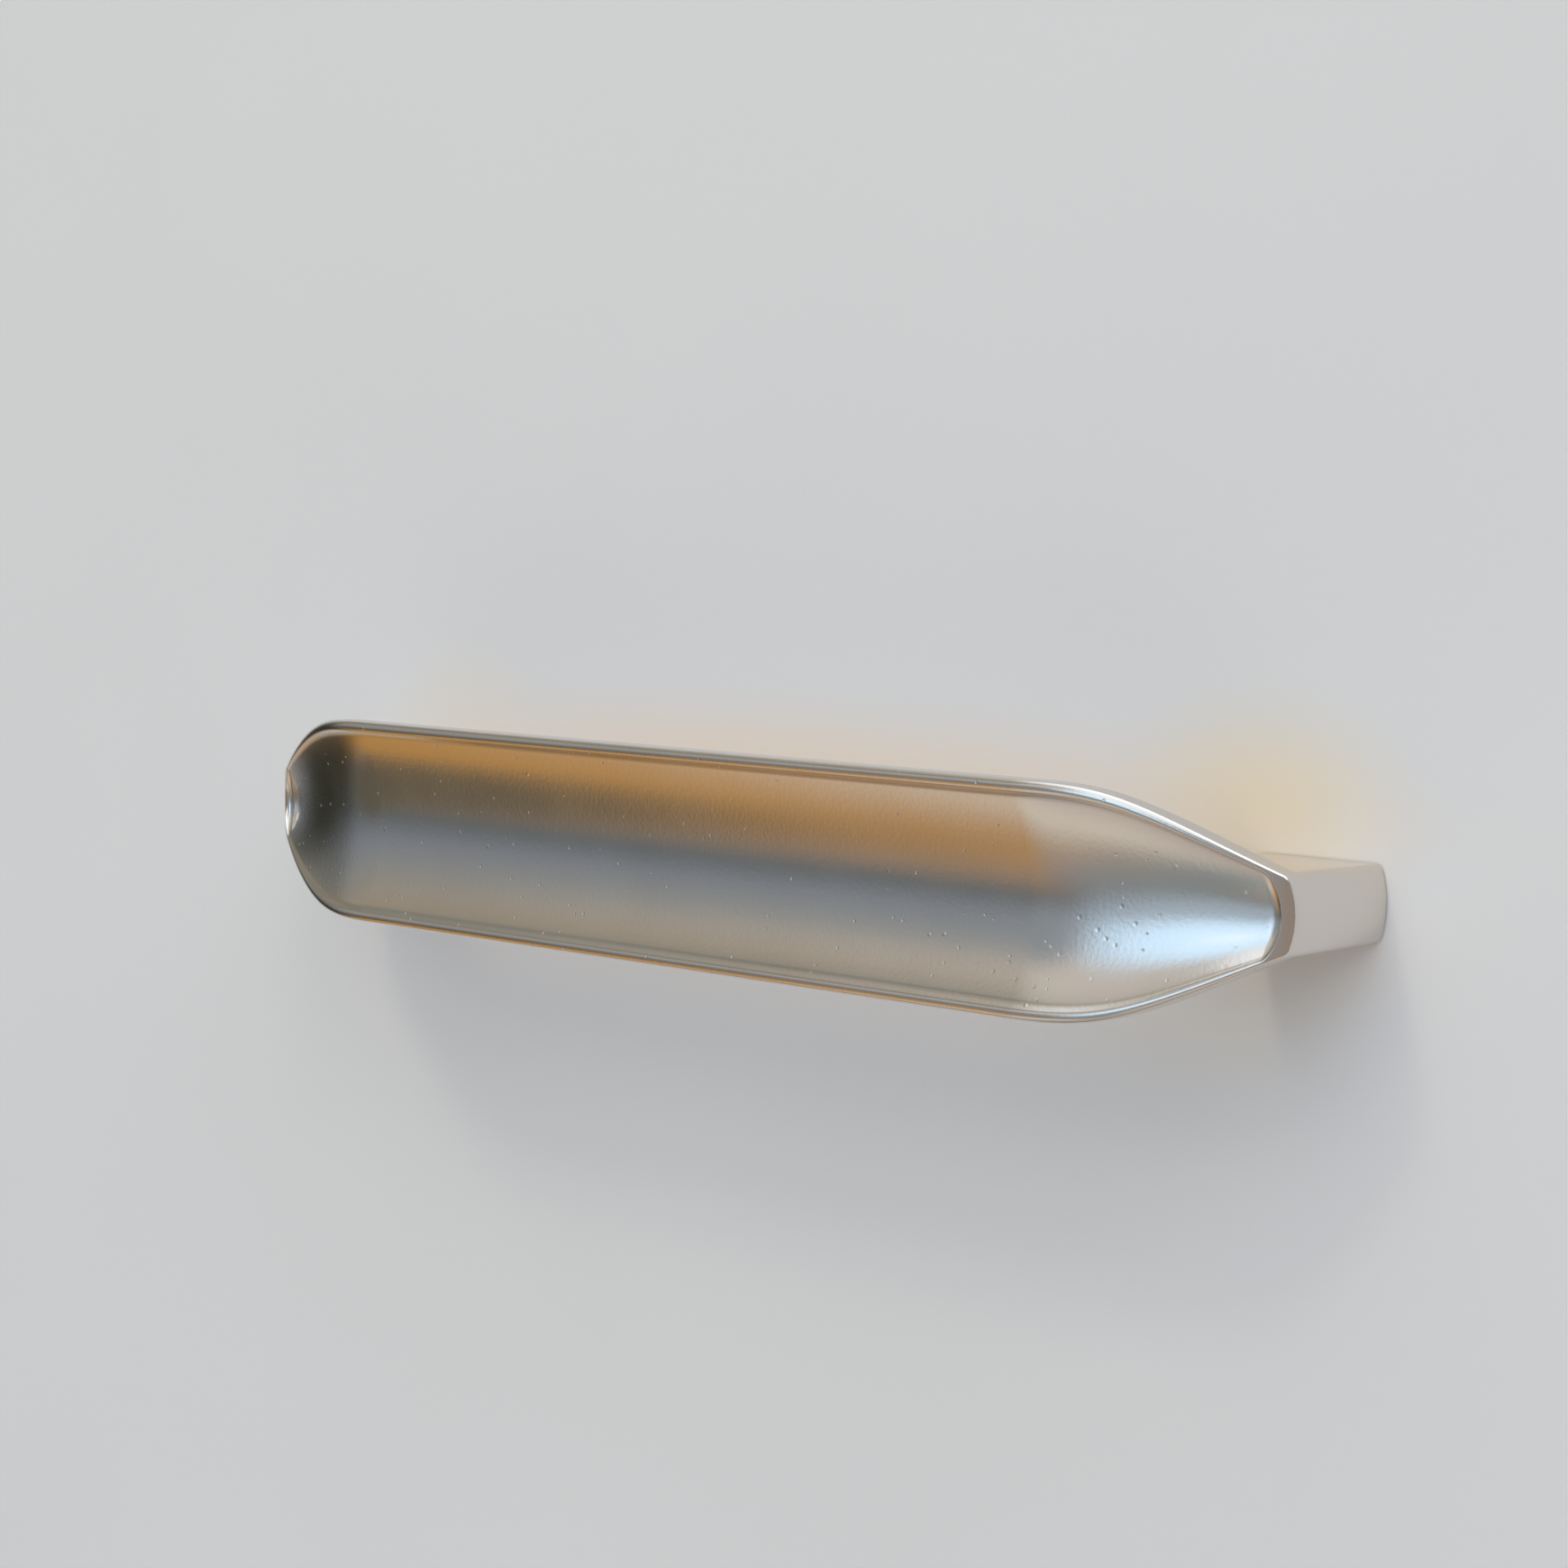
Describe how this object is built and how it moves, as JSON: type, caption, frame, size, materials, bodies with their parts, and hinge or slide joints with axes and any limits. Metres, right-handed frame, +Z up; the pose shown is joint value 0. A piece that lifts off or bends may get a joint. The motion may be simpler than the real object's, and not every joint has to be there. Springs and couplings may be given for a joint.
{
  "type": "pull handle",
  "caption": "Bow-shaped pull handle cast in one piece: a shallow dished bar with a raised rim, tapering to narrow necks that turn back into square feet tapped for screws.",
  "frame": {"origin": "on the door's surface, which is the plane of the feet's back faces, midway between the two screw holes", "axes": "+X along the handle, to the right as seen from the front; +Y into the door, so the handle stands out towards -Y; +Z up"},
  "size_m": [0.1778, 0.0275, 0.027],
  "materials": {
    "satin_nickel": "satin nickel plating with a fine blasted texture, on a zinc casting"
  },
  "bodies": {
    "root": {"pull_handle": "satin_nickel"}
  },
  "joints": []
}
